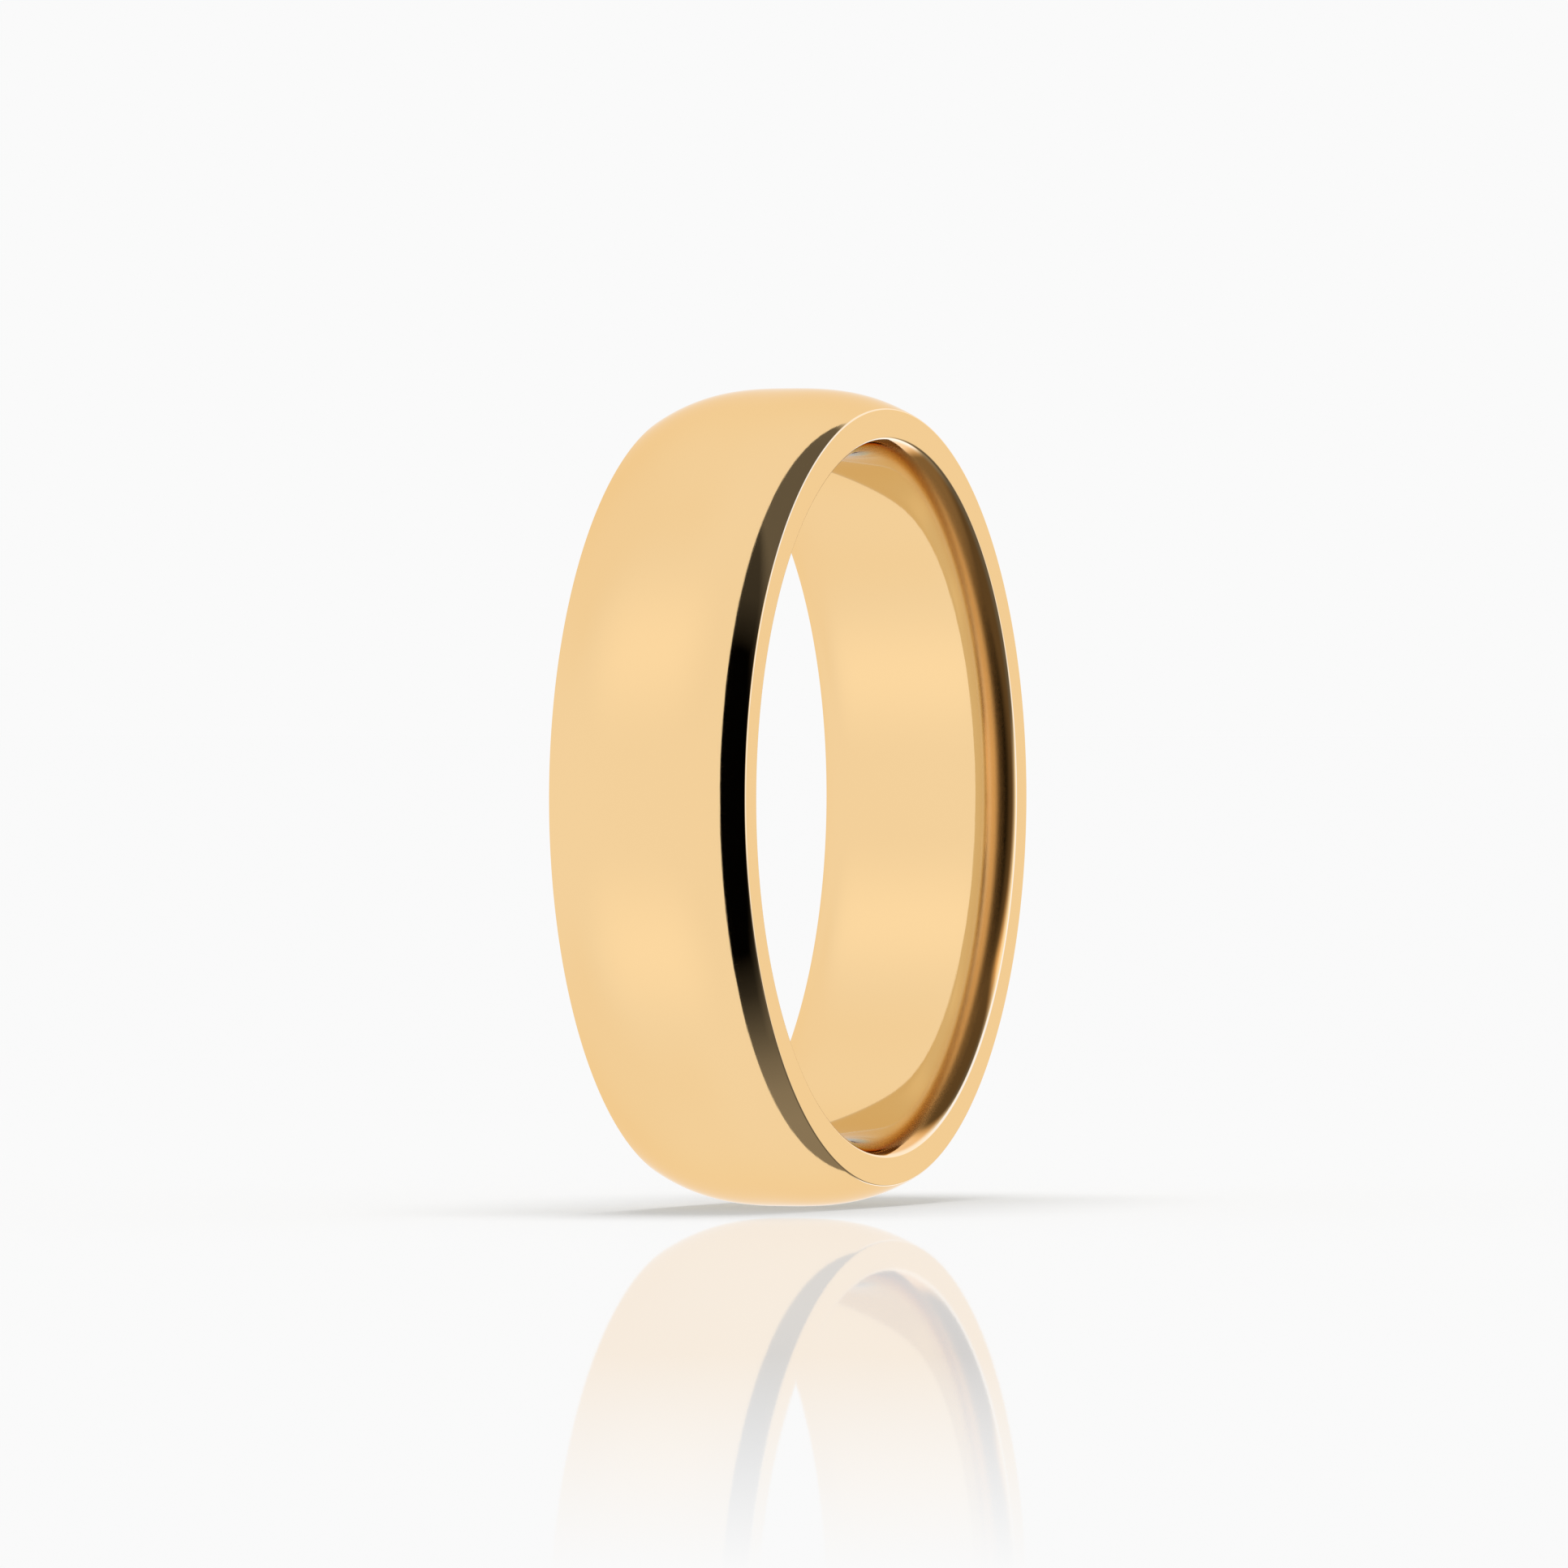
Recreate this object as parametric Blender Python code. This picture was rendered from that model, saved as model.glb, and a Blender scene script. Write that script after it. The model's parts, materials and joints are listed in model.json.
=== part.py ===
"""Wedding band: a plain one-piece court band, standing on its rim.

The band is one seamless turned body. Its finger axis lies along Y, +Z is up,
and the origin is the middle of the finger hole. Lengths are named in
millimetres and written to the mesh in metres.
"""
import math

import bpy
from mathutils import Vector

MM = 0.001

# Driving dimensions, in millimetres
BAND_WIDTH = 6.0            # along the finger, from one side face to the other
BORE_DIAMETER = 19.8        # ring size, across the narrowest middle of the finger hole
CROWN_WALL = 1.9            # thickness in the middle of the band
CROWN_DROP = 0.61           # how far the crown falls from its middle to the side face
COMFORT_RISE = 0.45         # how far the finger hole opens from its middle to the side face
CROWN_EDGE_RADIUS = 0.06    # rounding where the crown meets a side face
BORE_EDGE_RADIUS = 0.12     # rounding where the finger hole meets a side face

# Powers of the two curves: 2 is a plain arc, and a higher one is flatter in the middle
CROWN_FULLNESS = 2.9
COMFORT_FULLNESS = 7.0

# Fineness of the mesh
TURN_STEPS = 96
CROWN_STEPS = 8
BORE_STEPS = 6
EDGE_STEPS = 2

GOLD_COLOUR = (0.93, 0.64, 0.31, 1.0)
GOLD_ROUGHNESS = 0.08


def crown_radius(across):
    """Radius of the outside at a distance across the band from its middle."""
    share = abs(across) / (BAND_WIDTH / 2)
    return BORE_DIAMETER / 2 + CROWN_WALL - CROWN_DROP * share ** CROWN_FULLNESS


def bore_radius(across):
    """Radius of the finger hole at a distance across the band from its middle."""
    share = abs(across) / (BAND_WIDTH / 2)
    return BORE_DIAMETER / 2 + COMFORT_RISE * share ** COMFORT_FULLNESS


def places_across(steps, end):
    """Distances from the middle of the band out to end, closer together towards it."""
    return [end * math.sin(math.pi / 2 * step / steps) for step in range(steps + 1)]


def rounded_corner(before, corner, after, radius):
    """Points of the arc that touches both lines through a corner."""
    towards_before = (before - corner).normalized()
    towards_after = (after - corner).normalized()
    half_angle = towards_before.angle(towards_after) / 2
    middle = (towards_before + towards_after).normalized()
    centre = corner + middle * radius / math.sin(half_angle)
    first = corner + towards_before * radius / math.tan(half_angle) - centre
    last = corner + towards_after * radius / math.tan(half_angle) - centre
    turn = first.angle(last)
    points = []
    for step in range(EDGE_STEPS + 1):
        share = step / EDGE_STEPS
        blend = first * math.sin((1 - share) * turn) + last * math.sin(share * turn)
        points.append(centre + blend / math.sin(turn))
    return points


def half_outline():
    """From the middle of the bore, out over one side face, to the middle of the crown."""
    half = BAND_WIDTH / 2
    bore_end = half - 2 * BORE_EDGE_RADIUS
    crown_end = half - 2 * CROWN_EDGE_RADIUS
    bore = [Vector((bore_radius(y), y)) for y in places_across(BORE_STEPS, bore_end)]
    crown = [Vector((crown_radius(y), y)) for y in places_across(CROWN_STEPS, crown_end)]
    bore_corner = Vector((bore_radius(half), half))
    crown_corner = Vector((crown_radius(half), half))
    outline = list(bore)
    outline += rounded_corner(bore[-1], bore_corner, crown_corner, BORE_EDGE_RADIUS)
    outline += rounded_corner(bore_corner, crown_corner, crown[-1], CROWN_EDGE_RADIUS)
    outline += reversed(crown)
    return outline


def band_outline():
    """The whole section of the band, closed, running down its outer side."""
    upper = half_outline()
    lower = [Vector((point.x, -point.y)) for point in reversed(upper[1:-1])]
    return upper + lower


def gold():
    """Polished yellow gold."""
    material = bpy.data.materials.new("polished_gold")
    material.use_nodes = True
    shader = material.node_tree.nodes["Principled BSDF"]
    shader.inputs["Base Color"].default_value = GOLD_COLOUR
    shader.inputs["Metallic"].default_value = 1.0
    shader.inputs["Roughness"].default_value = GOLD_ROUGHNESS
    return material


def band():
    """The section turned once round the finger axis, then laid along Y."""
    outline = band_outline()
    count = len(outline)
    corners = [(point.x * MM, 0.0, point.y * MM) for point in outline]
    edges = [(index, (index + 1) % count) for index in range(count)]
    mesh = bpy.data.meshes.new("band")
    mesh.from_pydata(corners, edges, [])
    mesh.materials.append(gold())
    piece = bpy.data.objects.new("band", mesh)
    bpy.context.scene.collection.objects.link(piece)
    turning = piece.modifiers.new("turned", "SCREW")
    turning.axis = "Z"
    turning.angle = math.tau
    turning.steps = TURN_STEPS
    turning.render_steps = TURN_STEPS
    turning.use_merge_vertices = True
    turning.merge_threshold = 0.000001
    turning.use_smooth_shade = True
    piece.rotation_euler = (math.pi / 2, 0.0, 0.0)
    return piece


for leftover in list(bpy.data.objects):
    bpy.data.objects.remove(leftover)
band()
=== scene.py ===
"""A plain court-profile wedding band in polished yellow gold, standing on its edge on a pale floor.

Everything is in metres with Z up. The finger axis runs along Y and the band's middle is the origin.
"""

import json
import math

import bpy
import numpy as np
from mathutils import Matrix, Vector


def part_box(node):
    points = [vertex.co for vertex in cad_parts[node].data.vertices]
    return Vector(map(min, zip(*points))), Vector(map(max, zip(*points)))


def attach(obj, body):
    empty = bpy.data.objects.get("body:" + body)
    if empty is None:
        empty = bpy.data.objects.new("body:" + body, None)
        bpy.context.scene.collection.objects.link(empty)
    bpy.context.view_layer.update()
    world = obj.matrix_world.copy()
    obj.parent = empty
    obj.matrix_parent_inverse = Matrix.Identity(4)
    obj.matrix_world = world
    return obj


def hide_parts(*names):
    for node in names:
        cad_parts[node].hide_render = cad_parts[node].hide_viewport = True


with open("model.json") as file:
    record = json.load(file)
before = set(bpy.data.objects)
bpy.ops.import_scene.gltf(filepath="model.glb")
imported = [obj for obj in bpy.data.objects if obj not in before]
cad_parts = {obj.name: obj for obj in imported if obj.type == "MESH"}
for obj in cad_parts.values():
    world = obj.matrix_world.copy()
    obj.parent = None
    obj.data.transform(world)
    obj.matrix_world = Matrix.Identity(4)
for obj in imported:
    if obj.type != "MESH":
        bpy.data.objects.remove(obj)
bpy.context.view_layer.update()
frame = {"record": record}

MM = 0.001

# Band sizes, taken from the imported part.
band_low, band_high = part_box("band")
HALF_WIDTH = (band_high.y - band_low.y) / 2
CROWN_RADIUS = (band_high.x - band_low.x) / 2
finger_hole = next(m for m in frame["record"]["mounts"] if m["name"] == "finger_hole")
BORE_RADIUS = finger_hole["dims"]["r_mm"] * MM

# The band's section.
CROWN_DROP = 0.61 * MM
CROWN_FULLNESS = 2.9
COMFORT_RISE = 0.45 * MM
COMFORT_FULLNESS = 7.0
CROWN_EDGE = 0.06 * MM
BORE_EDGE = 0.12 * MM

# How finely the band is turned. The side places are shares of the way up the flat side.
STEPS_AROUND = 576
BORE_ROWS = 26
BORE_EDGE_ROWS = 9
SIDE_PLACES = np.array([0.02, 0.5, 0.98])
CROWN_EDGE_ROWS = 7
CROWN_ROWS = 34
SETTLING_ROUNDS = 30

# Finish of the gold. The front shoulder of the finger hole, with its painted dark reflection, begins and
# ends over these heights above the hole's radius, and its soft polish ends sooner.
SHOULDER_BEGINS = (0.015 * MM, 0.10 * MM)
SHOULDER_ENDS = (0.34 * MM, 0.42 * MM)
SOFT_POLISH_ENDS = (0.20 * MM, 0.30 * MM)
FRONT_BEGINS = (0, 1 * MM)
DEEP_GOLD = (0.925, 0.640, 0.322, 1)
PALE_GOLD = (0.940, 0.668, 0.350, 1)
# Painted dark reflection: a deeper orange-brown colour on the front shoulder, on the side towards the camera only.
SHOULDER_PAINTED_REFLECTION = (0.80, 0.39, 0.11, 1)
GRAZING_GOLD = (0.97, 0.83, 0.63, 1)
POLISH = 0.03
HAIRLINE_POLISH = 0.02
SHOULDER_POLISH = 0.22
DRIFT_SCALE = 90.0
HAIRLINE_SCALES = (900.0, 26000.0, 900.0)
HAIRLINE_DEPTH = 0.01 * MM
HAIRLINE_STRENGTH = 0.02

# Floor: a matt film, partly clear near the band's foot, over a mirror.
FLOOR_WHITE = 0.85
FLOOR_SHEEN = 0.35
FLOOR_HALF = 6.0
SHEEN_FADES = (0.115, 0.213)
SHEEN_HALF = 0.3
SHEEN_DEPTH = 0.175 * MM
MIRROR_POLISH = 0.02

# Camera, from the band's middle.
CAMERA_TURN = math.radians(-68.49)
CAMERA_RISE = math.radians(0.32)
CAMERA_DISTANCE = 506.5 * MM
CAMERA_LENS = 403.0
CAMERA_SENSOR = 36.0
CAMERA_SHIFT_RIGHT = -0.005176
CAMERA_SHIFT_UP = 0.008385
CAMERA_NEAR = 0.01
CAMERA_FAR = 50.0

# Brightness of the parts of the light.
BACKDROP = 0.956
TENT = 0.965
PANEL = 1.12
LAMP = 1.6
FLOOR_FILL = 0.55
TOP_LIGHT = 1.8
TOP_LIGHT_SPREAD = math.radians(42)
GOLD_STRIKES = 8

# Shades of the tent's gap, from the back (0) to the front (1), above and below level.
GAP_OVERHEAD = [(0.05, 0.19), (0.30, 0.13), (0.42, 0.115), (0.5, 0.10), (0.595, 0.065),
                (0.685, 0.048), (0.78, 0.042), (0.85, 0.015), (0.88, 0.0006)]
GAP_BELOW = [(0.05, 0.27), (0.425, 0.265), (0.52, 0.24),
             (0.615, 0.18), (0.705, 0.095), (0.785, 0.030), (0.865, 0.0006)]
LEVEL = (-0.05, 0.05)
GAP_DEEPENS = (0.38, 0.60)
GAP_DEEPER = 0.65
DUSK = 0.13
DUSK_TURN = (0.28, 0.74)

# Where the tent's parts begin and end. CUT and GAP_DEEPENS are on the cut's own scale, a turn is
# in radians from the front round to the right, and a head or foot is a share upwards.
CUT_RIGHT, CUT_FRONT = 0.978, 0.205
CUT = (0.153, 0.161)
PANEL_TURN = (0.64, 0.98)
PANEL_FOOT = (-0.34, -0.05)
PANEL_HEAD = (0.58, 0.76)
BEHIND_TURN = (1.95, 2.28)
BEHIND_HEAD = (0.06, 0.16)
LAMP_TURN = (1.25, 1.55)
LAMP_FADE_TURN = (2.1, 2.4)
LAMP_FADE = 0.35
LOW_LAMP_TURN = (2.42, 2.55)
LOW_LAMP_FOOT = (-0.66, -0.5)
LOW_LAMP_HEAD = (-0.20, -0.10)
POOL_MIDDLE = (-0.595, 0.50, 0.63)
POOL_REACH = 0.50
POOL_LIGHT = 0.075

# Tones of the light.
WHITE = (1, 1, 1, 1)
WARM_WHITE = (0.988, 0.968, 0.93, 1)
LAMP_BLUE = (0.65, 0.85, 1.50, 1)
DARK_BROWN = (1.05, 0.85, 0.52, 1)
WARM_HEIGHT = (0.25, 0.6)
WARM_FRONT = (-0.15, 0.25)
WARM_RIGHT = (-0.45, -0.1)
DARK_SHADES = (0.03, 0.22)
# Light that has struck the gold at least twice, three, four and five times.
PALER_LIGHT = ((2, (0.80, 1.0, 1.38, 1)), (3, (0.86, 1.6, 4.8, 1)),
               (4, (0.84, 2.0, 8.0, 1)), (5, (0.66, 2.3, 12.0, 1)))


# ---------------------------------------------------------------- the band's shape

def crown_radius(across):
    """Radius of the outside at a place across the band: largest in the middle, and lower towards
    the sides by the drop times the share of the half width raised to the crown's fullness."""
    return CROWN_RADIUS - CROWN_DROP * (np.abs(across) / HALF_WIDTH) ** CROWN_FULLNESS


def bore_radius(across):
    """Radius of the finger hole at a place across the band: smallest in the middle, and wider
    towards the sides by the rise times the share of the half width raised to its fullness."""
    return BORE_RADIUS + COMFORT_RISE * (np.abs(across) / HALF_WIDTH) ** COMFORT_FULLNESS


def broken_edge(curve, slope, outward, size, rows):
    """Where a curve meets a flat side: the last place on the curve that stays as it is, and an arc
    from there to the side. The arc's centre lies its own radius inside the side and inside the
    curve, so the place on the curve is the half width less the radius times one minus the
    normal's share along the width. Repeating that rule settles on the place."""
    place = HALF_WIDTH
    for _ in range(SETTLING_ROUNDS):
        steepness = slope(place)
        lean = outward * -steepness / math.hypot(1, steepness)
        place = HALF_WIDTH - size * (1 - lean)
    steepness = slope(place)
    length = math.hypot(1, steepness)
    middle_across = HALF_WIDTH - size
    middle_out = curve(place) - size * outward / length
    start = math.asin(outward * -steepness / length)
    turn = np.linspace(start, math.pi / 2, rows)
    return place, middle_across + size * np.sin(turn), middle_out + size * outward * np.cos(turn)


def band_section():
    """The closed section as places across the band and radii. One half runs from the middle of the
    bore over both broken edges to the middle of the crown, and the other half is its mirror."""
    crown_slope = lambda y: -CROWN_DROP * CROWN_FULLNESS * (y / HALF_WIDTH) ** (CROWN_FULLNESS - 1) / HALF_WIDTH
    bore_slope = lambda y: COMFORT_RISE * COMFORT_FULLNESS * (y / HALF_WIDTH) ** (COMFORT_FULLNESS - 1) / HALF_WIDTH
    bore_end, bore_arc_across, bore_arc_out = broken_edge(bore_radius, bore_slope, -1, BORE_EDGE, BORE_EDGE_ROWS)
    crown_end, crown_arc_across, crown_arc_out = broken_edge(crown_radius, crown_slope, 1, CROWN_EDGE, CROWN_EDGE_ROWS)
    bore_across = bore_end * np.sin(np.linspace(0, math.pi / 2, BORE_ROWS + 1))[:-1]
    crown_across = crown_end * np.sin(np.linspace(math.pi / 2, 0, CROWN_ROWS + 1))[1:]
    inner, outer = bore_arc_out[-1], crown_arc_out[-1]
    side_out = inner + (outer - inner) * SIDE_PLACES
    across = np.concatenate([bore_across, bore_arc_across, np.full(len(SIDE_PLACES), HALF_WIDTH),
                             crown_arc_across[::-1], crown_across])
    out = np.concatenate([bore_radius(bore_across), bore_arc_out, side_out,
                          crown_arc_out[::-1], crown_radius(crown_across)])
    return np.concatenate([across, -across[-2:0:-1]]), np.concatenate([out, out[-2:0:-1]])


def closed_grid(name, points):
    """A mesh from a grid of points that closes on itself both ways, faces outwards and is smooth."""
    rows, steps = points.shape[:2]
    row, step = np.meshgrid(np.arange(rows), np.arange(steps), indexing="ij")
    next_row, next_step = (row + 1) % rows, (step + 1) % steps
    corners = np.stack([row * steps + step, row * steps + next_step,
                        next_row * steps + next_step, next_row * steps + step], axis=-1).reshape(-1, 4)
    mesh = bpy.data.meshes.new(name)
    mesh.vertices.add(rows * steps)
    mesh.vertices.foreach_set("co", points.reshape(-1).astype(np.float32))
    mesh.loops.add(corners.size)
    mesh.loops.foreach_set("vertex_index", corners.reshape(-1).astype(np.int32))
    mesh.polygons.add(len(corners))
    mesh.polygons.foreach_set("loop_start", np.arange(0, corners.size, 4, dtype=np.int32))
    mesh.polygons.foreach_set("use_smooth", np.ones(len(corners), bool))
    mesh.update(calc_edges=True)
    mesh.validate()
    piece = bpy.data.objects.new(name, mesh)
    bpy.context.scene.collection.objects.link(piece)
    return piece


def gold_band():
    """The band: its section carried once round the finger axis, at the section's radius."""
    across, out = band_section()
    turn = np.linspace(0, 2 * math.pi, STEPS_AROUND, endpoint=False)
    points = np.stack([out[:, None] * np.cos(turn)[None, :],
                       np.repeat(across[:, None], STEPS_AROUND, axis=1),
                       out[:, None] * np.sin(turn)[None, :]], axis=-1)
    return closed_grid("gold_band", points)


# ---------------------------------------------------------------- shader sums

class Wire:
    """One output in a node tree. Sums with it add Math nodes, and node() adds any other kind."""

    def __init__(self, tree, socket=None):
        self.tree = tree
        self.socket = socket

    def node(self, kind, settings=None, sockets=None, output=0):
        """A node of that kind: its settings first, then the values or wires of its sockets."""
        made = self.tree.nodes.new(kind)
        for name, value in (settings or {}).items():
            if name == "stops":
                ramp = made.color_ramp
                while len(ramp.elements) < len(value):
                    ramp.elements.new(0.5)
                for element, (place, shade) in zip(ramp.elements, value):
                    element.position = place
                    element.color = (shade, shade, shade, 1)
            elif name == "spread":
                made.color_ramp.interpolation = value
            else:
                setattr(made, name, value)
        for name, value in (sockets or {}).items():
            if isinstance(value, Wire):
                self.tree.links.new(value.socket, made.inputs[name])
            else:
                made.inputs[name].default_value = value
        return Wire(self.tree, made.outputs[output] if made.outputs else None)

    def math(self, operation, *values):
        """A Math node on these values or wires."""
        return self.node("ShaderNodeMath", {"operation": operation}, dict(enumerate(values)))

    def __add__(self, other):
        return self.math("ADD", self, other)

    def __radd__(self, other):
        return self.math("ADD", other, self)

    def __sub__(self, other):
        return self.math("SUBTRACT", self, other)

    def __rsub__(self, other):
        return self.math("SUBTRACT", other, self)

    def __mul__(self, other):
        return self.math("MULTIPLY", self, other)

    def __rmul__(self, other):
        return self.math("MULTIPLY", other, self)

    def __abs__(self):
        return self.math("ABSOLUTE", self)

    def rise(self, start, end):
        """0 at start, 1 at end, and a smooth step between them."""
        return self.node("ShaderNodeMapRange", {"interpolation_type": "SMOOTHSTEP", "clamp": True},
                         {"Value": self, "From Min": start, "From Max": end})

    def fall(self, start, end):
        """1 at start, 0 at end, and a smooth step between them."""
        return 1 - self.rise(start, end)

    def between(self, first, second):
        """The first tone where this wire is 0, the second where it is 1, and a mix between."""
        return self.node("ShaderNodeMix", {"data_type": "RGBA"}, {"Factor": self, 6: first, 7: second}, output=2)

    def shades(self, stops):
        """Straight steps through (place, shade) stops."""
        return self.node("ShaderNodeValToRGB", {"spread": "LINEAR", "stops": stops}, {"Fac": self})

    def share(self, x, y, z):
        """How far this direction points along (x, y, z): the sum of the products of their parts."""
        return self.node("ShaderNodeVectorMath", {"operation": "DOT_PRODUCT"}, {0: self, 1: (x, y, z)},
                         output="Value")

    def length(self):
        """The length of this vector."""
        return self.node("ShaderNodeVectorMath", {"operation": "LENGTH"}, {0: self}, output="Value")


# ---------------------------------------------------------------- finishes

def blank_finish(name):
    """A new material without nodes, and the wire to build them with."""
    finish = bpy.data.materials.new(name)
    finish.use_nodes = True
    finish.node_tree.nodes.clear()
    return finish, Wire(finish.node_tree)


def polished_gold():
    """Mirror-polished yellow gold, with the faint drift in tone and the hairlines of a worn buff.
    The front shoulder of the finger hole, on the side towards the camera only, has a painted dark
    reflection in a deeper orange-brown colour, and a softer polish than the rest."""
    finish, tools = blank_finish("polished_gold")
    place = tools.node("ShaderNodeTexCoord", output="Object")
    from_axis = tools.node("ShaderNodeVectorMath", {"operation": "MULTIPLY"}, {0: place, 1: (1, 0, 1)})
    height = from_axis.length() - BORE_RADIUS
    on_front = place.share(0, -1, 0).rise(*FRONT_BEGINS)
    painted_shoulder = height.rise(*SHOULDER_BEGINS) * height.fall(*SHOULDER_ENDS) * on_front
    soft = painted_shoulder * height.fall(*SOFT_POLISH_ENDS)
    drift = tools.node("ShaderNodeTexNoise", {"noise_dimensions": "3D"},
                       {"Vector": place, "Scale": DRIFT_SCALE, "Detail": 2.0, "Roughness": 0.5})
    # Painted dark reflection: the front shoulder takes a deeper orange-brown colour instead of the gold.
    colour = painted_shoulder.between(drift.between(DEEP_GOLD, PALE_GOLD), SHOULDER_PAINTED_REFLECTION)
    along = tools.node("ShaderNodeMapping", {"vector_type": "POINT"}, {"Vector": place, "Scale": HAIRLINE_SCALES})
    hairlines = tools.node("ShaderNodeTexNoise", {"noise_dimensions": "3D"},
                           {"Vector": along, "Scale": 1.0, "Detail": 3.0, "Roughness": 0.6})
    bump = tools.node("ShaderNodeBump", None, {"Strength": HAIRLINE_STRENGTH, "Distance": HAIRLINE_DEPTH,
                                             "Height": hairlines})
    roughness = POLISH + HAIRLINE_POLISH * hairlines + SHOULDER_POLISH * soft
    shader = tools.node("ShaderNodeBsdfPrincipled", None,
                        {"Base Color": colour, "Metallic": 1.0, "Roughness": roughness,
                         "Specular Tint": GRAZING_GOLD, "Normal": bump})
    tools.node("ShaderNodeOutputMaterial", None, {"Surface": shader})
    return finish


def pale_floor():
    """A white matt film that is partly clear round the band's foot, to show the mirror below. How
    clear it is falls in a straight line with the distance from the foot."""
    finish, tools = blank_finish("pale_floor")
    distance = tools.node("ShaderNodeTexCoord", output="Object").length()
    full, gone = SHEEN_FADES
    fade = 1 - tools.node("ShaderNodeMapRange", {"interpolation_type": "LINEAR", "clamp": True},
                          {"Value": distance, "From Min": full, "From Max": gone})
    matt = tools.node("ShaderNodeBsdfDiffuse", None, {"Color": (FLOOR_WHITE, FLOOR_WHITE, FLOOR_WHITE, 1)})
    clear = tools.node("ShaderNodeBsdfTransparent")
    film = tools.node("ShaderNodeMixShader", None, {0: FLOOR_SHEEN * fade, 1: matt, 2: clear})
    tools.node("ShaderNodeOutputMaterial", None, {"Surface": film})
    return finish


def polished_sheet():
    """A smooth mirror."""
    finish, tools = blank_finish("polished_sheet")
    mirror = tools.node("ShaderNodeBsdfAnisotropic", None, {"Color": WHITE, "Roughness": MIRROR_POLISH})
    tools.node("ShaderNodeOutputMaterial", None, {"Surface": mirror})
    return finish


# ---------------------------------------------------------------- stage, light and camera

def sheet(name, half, z, finish):
    """A square sheet, level and centred under the band. The gold doesn't mirror it."""
    mesh = bpy.data.meshes.new(name)
    mesh.from_pydata([(-half, -half, 0), (half, -half, 0), (half, half, 0), (-half, half, 0)], [], [(0, 1, 2, 3)])
    mesh.materials.append(finish)
    laid = bpy.data.objects.new(name, mesh)
    laid.location = (0, 0, z)
    laid.visible_glossy = False
    bpy.context.scene.collection.objects.link(laid)


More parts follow.
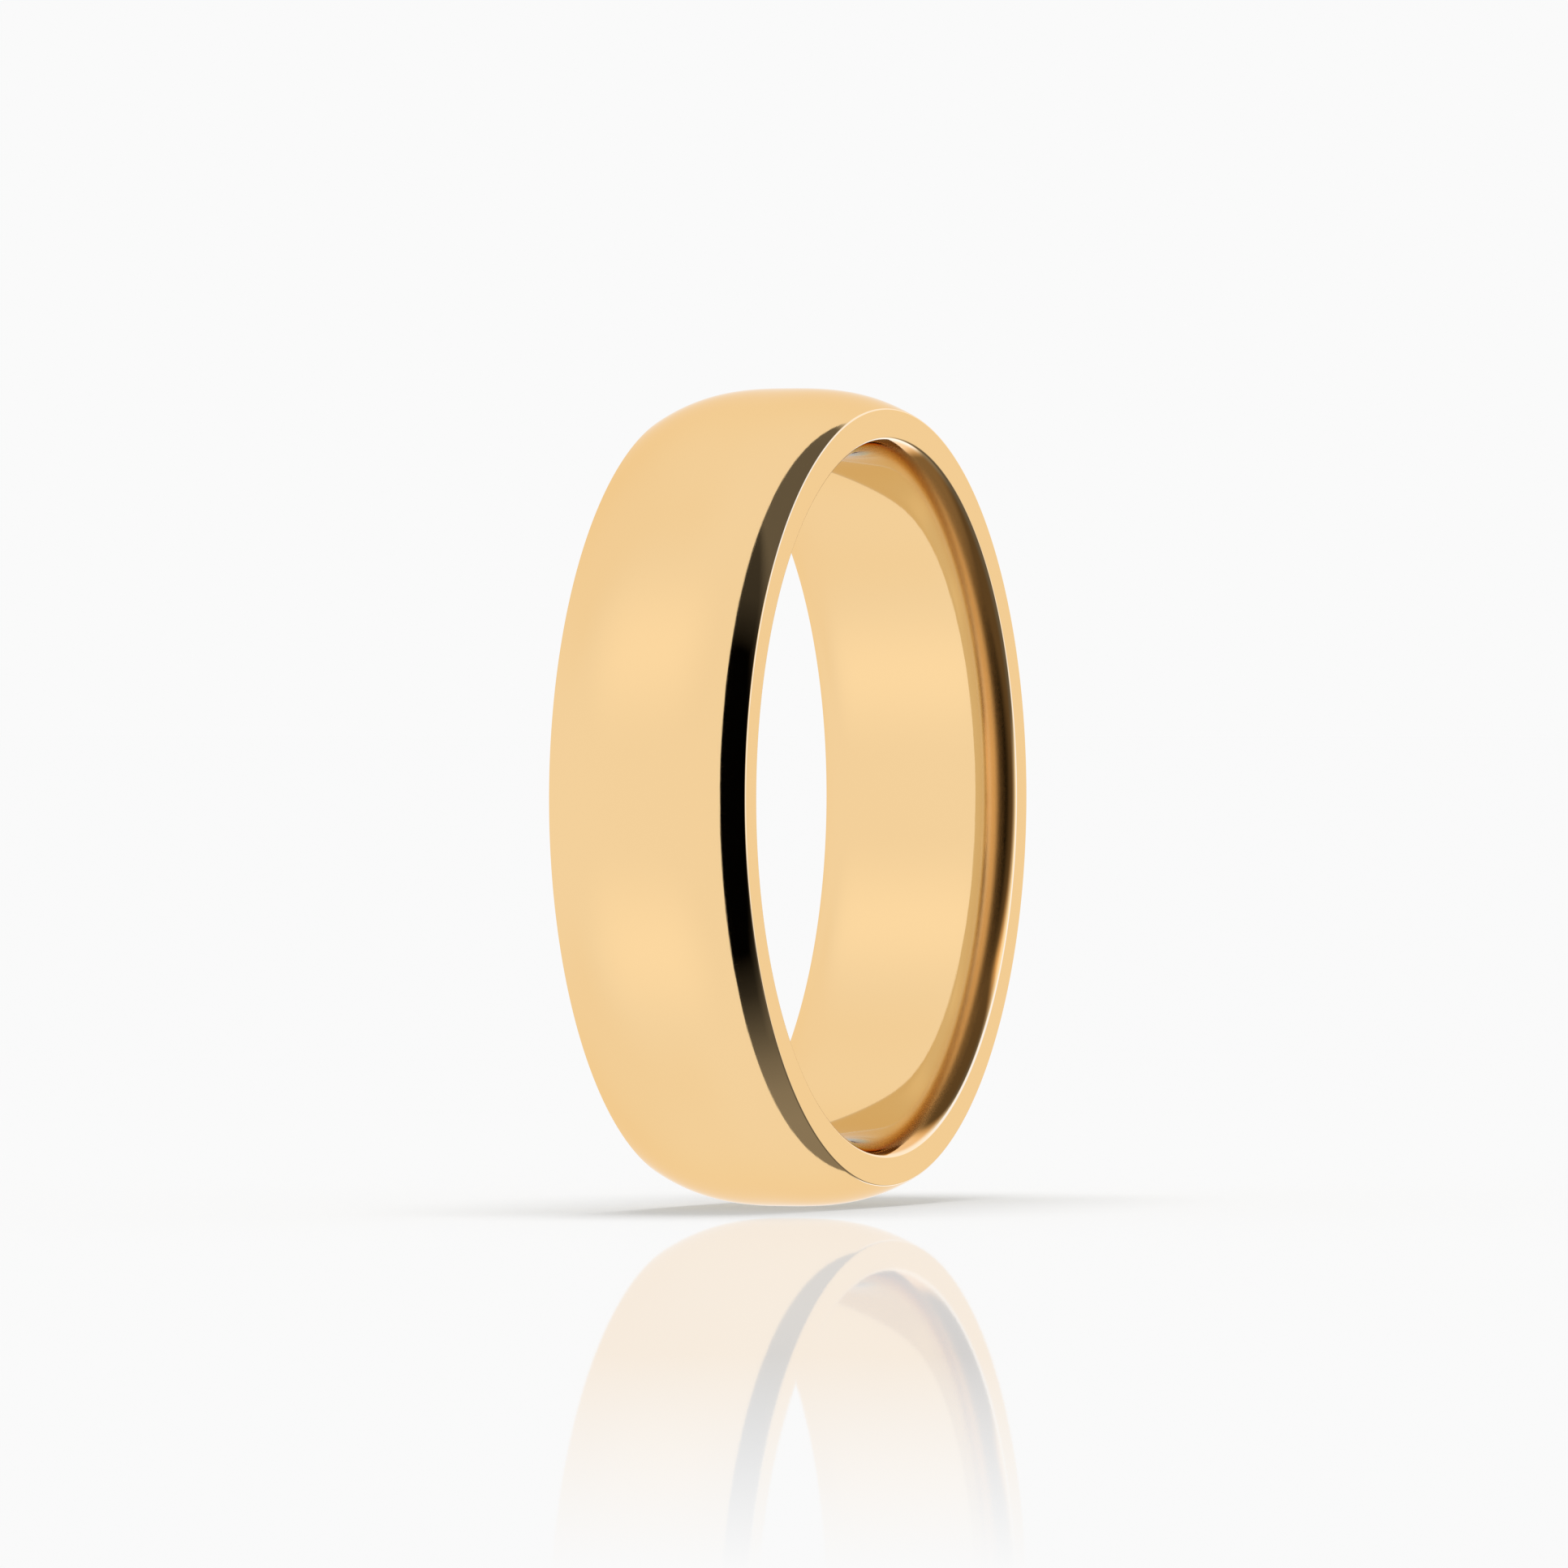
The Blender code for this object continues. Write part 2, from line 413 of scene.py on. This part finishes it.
def light_tent():
    """A white tent all round, open on the right, with a bright panel standing in the opening.

    Every part is a share from 0 to 1 of a direction, and a product of smooth steps. The steps are
    taken on how far the direction points right, front (to the camera) and up, on its turn from
    the front round to the right, and on the cut: a fixed mix of right and front. The opening
    begins at the cut. The gap between the cut and the panel is black in front, and a dim grey
    the further it runs to the back, above level and below it. The panel stands from just below
    level upwards. It is white, and bluish and brighter where the lamps stand: round at the right,
    and low down at the back. Two soft pools at the tent's front left, high and low, are a little
    brighter, and its back left is a little warm.

    Gold in gold would look too orange, so light that strikes the gold more than once is paler,
    and browner where the gap is dark. Light for the floor, and what stands behind the band, is
    plain white. Light paths are counted exactly only while the tent isn't sampled as a lamp.
    """
    world = bpy.data.worlds.new("light_tent")
    bpy.context.scene.world = world
    world.use_nodes = True
    world.cycles.sampling_method = "NONE"
    world.node_tree.nodes.clear()
    tools = Wire(world.node_tree)
    heading = tools.node("ShaderNodeTexCoord", output="Generated")
    right = heading.share(math.cos(CAMERA_TURN), math.sin(CAMERA_TURN), 0)
    front = heading.share(math.sin(CAMERA_TURN), -math.cos(CAMERA_TURN), 0)
    up = heading.share(0, 0, 1)
    turn = right.math("ARCTAN2", right, front)
    cut = CUT_RIGHT * right + CUT_FRONT * front

    back_to_front = 0.5 + 0.5 * front
    ends = tools.node("ShaderNodeMix", {"data_type": "FLOAT"},
                      {"Factor": up.rise(*LEVEL), "A": back_to_front.shades(GAP_BELOW),
                       "B": back_to_front.shades(GAP_OVERHEAD)})
    ends = ends * (1 - GAP_DEEPER * cut.rise(*GAP_DEEPENS))
    gap = ends.math("MAXIMUM", ends, DUSK * turn.rise(*DUSK_TURN))

    panel = turn.rise(*PANEL_TURN) * up.rise(*PANEL_FOOT) * up.fall(*PANEL_HEAD)
    behind = turn.rise(*BEHIND_TURN) * up.fall(*BEHIND_HEAD)
    low_lamp = turn.rise(*LOW_LAMP_TURN) * up.fall(*LOW_LAMP_HEAD) * up.rise(*LOW_LAMP_FOOT)
    lamp = panel * (1 - behind) * turn.rise(*LAMP_TURN) * (1 - LAMP_FADE * turn.rise(*LAMP_FADE_TURN)) + low_lamp
    opening = gap * (1 - panel) + panel * (PANEL - (PANEL - TENT) * behind) + (LAMP - PANEL * panel) * lamp

    mirrored = tools.node("ShaderNodeCombineXYZ", None, {"X": right, "Y": front, "Z": abs(up)})
    from_pool = tools.node("ShaderNodeVectorMath", {"operation": "DISTANCE"}, {0: mirrored, 1: POOL_MIDDLE},
                           output="Value")
    in_tent = cut.fall(*CUT)
    strength = in_tent * (TENT + POOL_LIGHT * from_pool.fall(0.0, POOL_REACH)) + (1 - in_tent) * opening

    warm = abs(up).rise(*WARM_HEIGHT) * front.fall(*WARM_FRONT) * right.fall(*WARM_RIGHT)
    tone = (lamp * (1 - in_tent)).between(warm.between(WHITE, WARM_WHITE), LAMP_BLUE)
    # A ray's depth is one more than its strikes, once the passes through the floor's film are taken off.
    depth = (tools.node("ShaderNodeLightPath", output="Ray Depth")
             - tools.node("ShaderNodeLightPath", output="Transparent Depth"))
    for strikes, paler in PALER_LIGHT:
        tone = depth.math("GREATER_THAN", depth, strikes + 0.5).between(tone, paler)
    in_dark = depth.math("GREATER_THAN", depth, 2.5) * strength.fall(*DARK_SHADES)
    tent = tools.node("ShaderNodeBackground", None, {"Color": in_dark.between(tone, DARK_BROWN), "Strength": strength})

    from_floor = tools.node("ShaderNodeLightPath", output="Is Diffuse Ray")
    plain = tools.node("ShaderNodeBackground", None,
                       {"Color": WHITE, "Strength": BACKDROP - (BACKDROP - FLOOR_FILL) * from_floor})
    no_gold = depth.math("LESS_THAN", depth, 1.5) + from_floor
    light = tools.node("ShaderNodeMixShader", None, {0: no_gold, 1: tent, 2: plain})
    tools.node("ShaderNodeOutputWorld", None, {"Surface": light})


def top_light():
    """Very soft light from straight above for the floor. The gold doesn't mirror it."""
    light = bpy.data.lights.new("top_light", "SUN")
    light.angle = TOP_LIGHT_SPREAD
    light.energy = TOP_LIGHT
    stand = bpy.data.objects.new("top_light", light)
    stand.visible_glossy = False
    bpy.context.scene.collection.objects.link(stand)


def camera():
    """A long lens, a little above level, that puts the band's middle just right of and below centre."""
    lens = bpy.data.cameras.new("camera")
    lens.lens = CAMERA_LENS
    lens.sensor_width = CAMERA_SENSOR
    lens.clip_start = CAMERA_NEAR
    lens.clip_end = CAMERA_FAR
    lens.shift_x = CAMERA_SHIFT_RIGHT
    lens.shift_y = CAMERA_SHIFT_UP
    stand = bpy.data.objects.new("camera", lens)
    away = Vector((math.sin(CAMERA_TURN) * math.cos(CAMERA_RISE), -math.cos(CAMERA_TURN) * math.cos(CAMERA_RISE),
                   math.sin(CAMERA_RISE)))
    stand.location = away * CAMERA_DISTANCE
    stand.rotation_euler = away.to_track_quat("Z", "Y").to_euler()
    bpy.context.scene.collection.objects.link(stand)
    bpy.context.scene.camera = stand


# ---------------------------------------------------------------- the scene

band = gold_band()
band.data.materials.append(polished_gold())
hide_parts("band")
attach(band, "root")

sheet("floor", FLOOR_HALF, band_low.z, pale_floor())
sheet("polished_sheet", SHEEN_HALF, band_low.z - SHEEN_DEPTH, polished_sheet())
light_tent()
top_light()
camera()
bpy.context.scene.view_settings.view_transform = "Standard"
bpy.context.scene.view_settings.look = "None"
bpy.context.scene.cycles.glossy_bounces = GOLD_STRIKES
